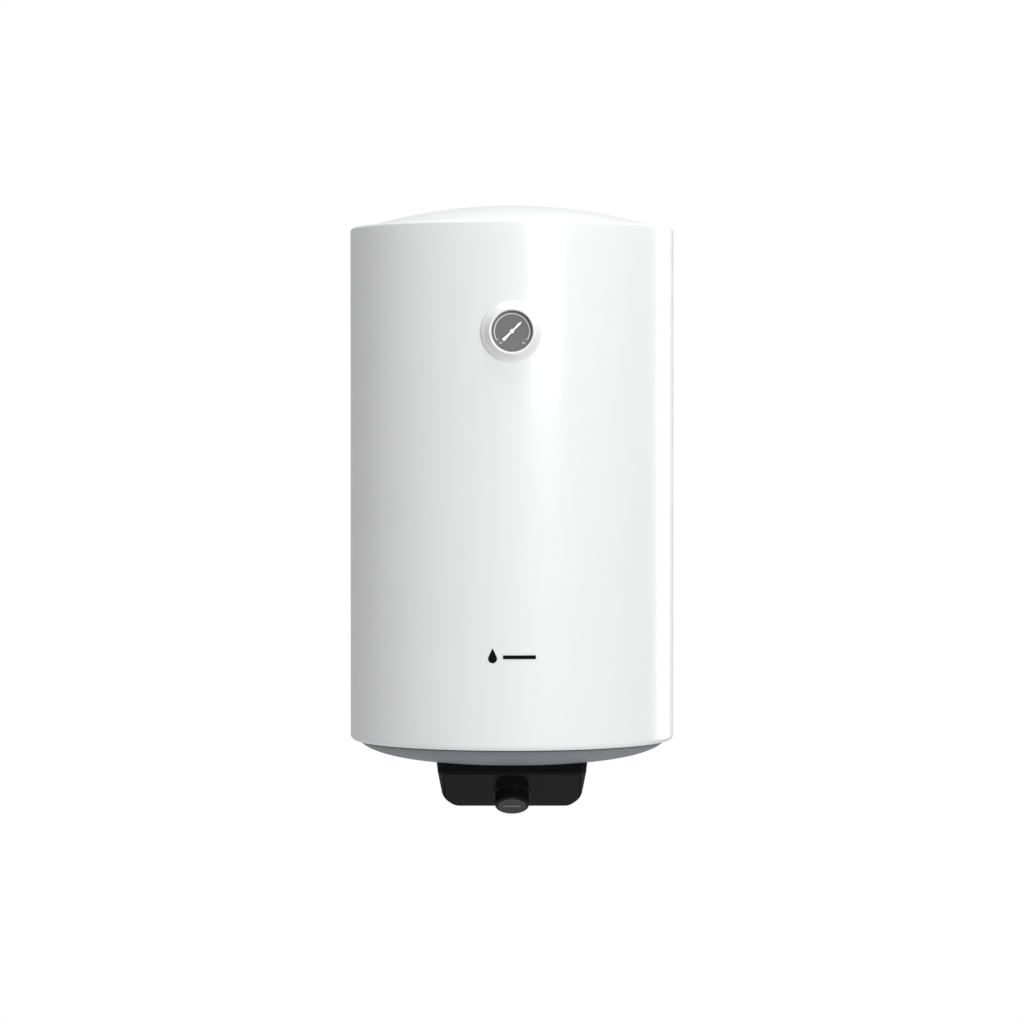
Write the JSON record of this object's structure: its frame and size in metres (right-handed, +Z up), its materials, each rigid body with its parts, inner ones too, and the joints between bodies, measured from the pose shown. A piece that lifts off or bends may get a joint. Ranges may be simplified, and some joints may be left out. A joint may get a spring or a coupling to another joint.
{
  "type": "wall-hung electric storage water heater",
  "caption": "Tall white cylinder hung on wall brackets, with a round temperature gauge, a grey domed base, a black sloping terminal cover with a knob, and hot and cold pipe nipples.",
  "frame": {"origin": "midway between the two slots of the upper wall bracket, on the wall plane", "axes": "+Z up along the tank, +Y into the wall, +X to the right of someone facing the heater"},
  "size_m": [0.45, 0.4806, 0.8418],
  "materials": {
    "white_enamel": "gloss baked white enamel",
    "grey_plastic": "satin mid grey moulding",
    "cream_foam": null,
    "enamelled_steel": "dark blue glass-lined steel",
    "zinc_steel": "bright zinc plating",
    "black_rubber": "matte",
    "copper": "plain copper",
    "white_ceramic": "matte",
    "magnesium": "dull cast",
    "white_plastic": "gloss white moulding",
    "blue_plastic": "satin",
    "red_plastic": "satin",
    "brown_bakelite": "satin",
    "black_plastic": "fine satin black",
    "satin_grey": "satin dark grey",
    "black_gloss": "mirror gloss black",
    "brown_wire": "satin",
    "green_wire": "satin",
    "brass": "plain",
    "dial_grey": "satin dark grey",
    "clear_lens": "clear polished",
    "galvanised": "galvanised"
  },
  "bodies": {
    "heater": {"jacket": "white_enamel", "top_cap": "white_enamel", "bottom_cap": "grey_plastic", "foam_insulation": "cream_foam", "foam_plug": "grey_plastic", "inner_tank": "enamelled_steel", "flange_ring": "enamelled_steel", "flange_studs": "zinc_steel", "flange_nuts": "zinc_steel", "flange_gasket": "black_rubber", "heater_flange": "zinc_steel", "heating_element": "copper", "element_terminals": "white_ceramic", "anode_rod": "magnesium", "anode_nut": "zinc_steel", "sensor_well": "copper", "sensor_bulb": "copper", "sensor_capillary": "copper", "cold_nipple": "zinc_steel", "hot_nipple": "zinc_steel", "cold_diffuser": "white_plastic", "hot_outlet_tube": "white_plastic", "cold_collar": "blue_plastic", "hot_collar": "red_plastic", "thermal_cutout": "brown_bakelite", "thermostat": "brown_bakelite", "thermostat_screws": "zinc_steel", "knob_dial_plate": "black_gloss", "terminal_cover": "black_plastic", "fascia": "black_gloss", "cover_screws": "zinc_steel", "cable_gland": "black_plastic", "gland_locknut": "black_plastic", "terminal_block": "white_plastic", "wire_live": "brown_wire", "wire_neutral": "blue_plastic", "wire_earth": "green_wire", "wire_link": "brown_wire", "earth_screw": "brass", "gauge_boss": "white_plastic", "gauge_clip": "zinc_steel", "gauge_case": "brass", "gauge_dial": "dial_grey", "gauge_bezel": "white_plastic", "gauge_lens": "clear_lens", "gauge_coil": "brass", "gauge_probe": "copper", "upper_bracket": "galvanised", "lower_bracket": "galvanised", "bracket_bolts": "zinc_steel", "bracket_spacers": "black_rubber", "bracket_nuts": "zinc_steel", "badge": "black_gloss"},
    "knob": {"control_knob": "black_plastic", "knob_cap": "satin_grey", "thermostat_spindle": "zinc_steel"},
    "needle": {"gauge_pointer": "white_plastic", "gauge_spindle": "zinc_steel"},
    "reset": {"reset_button": "red_plastic"}
  },
  "joints": [
    {"name": "knob_turn", "type": "hinge", "parent": "heater", "child": "knob", "pos_m": [0, -0.30237, -0.62885], "axis": [0, -0.5736, -0.8192], "range_deg": [-135, 135]},
    {"name": "needle_turn", "type": "hinge", "parent": "heater", "child": "needle", "pos_m": [0, -0.465, 0.0015], "axis": [0, 1, 0], "range_deg": [-164, 74], "stiffness_Nm_per_rad": 0.0002},
    {"name": "reset_push", "type": "slide", "parent": "heater", "child": "reset", "axis": [0, 0, 1], "range_m": [0, 0.002], "stiffness_N_per_m": 1500, "springref_m": -0.001}
  ]
}
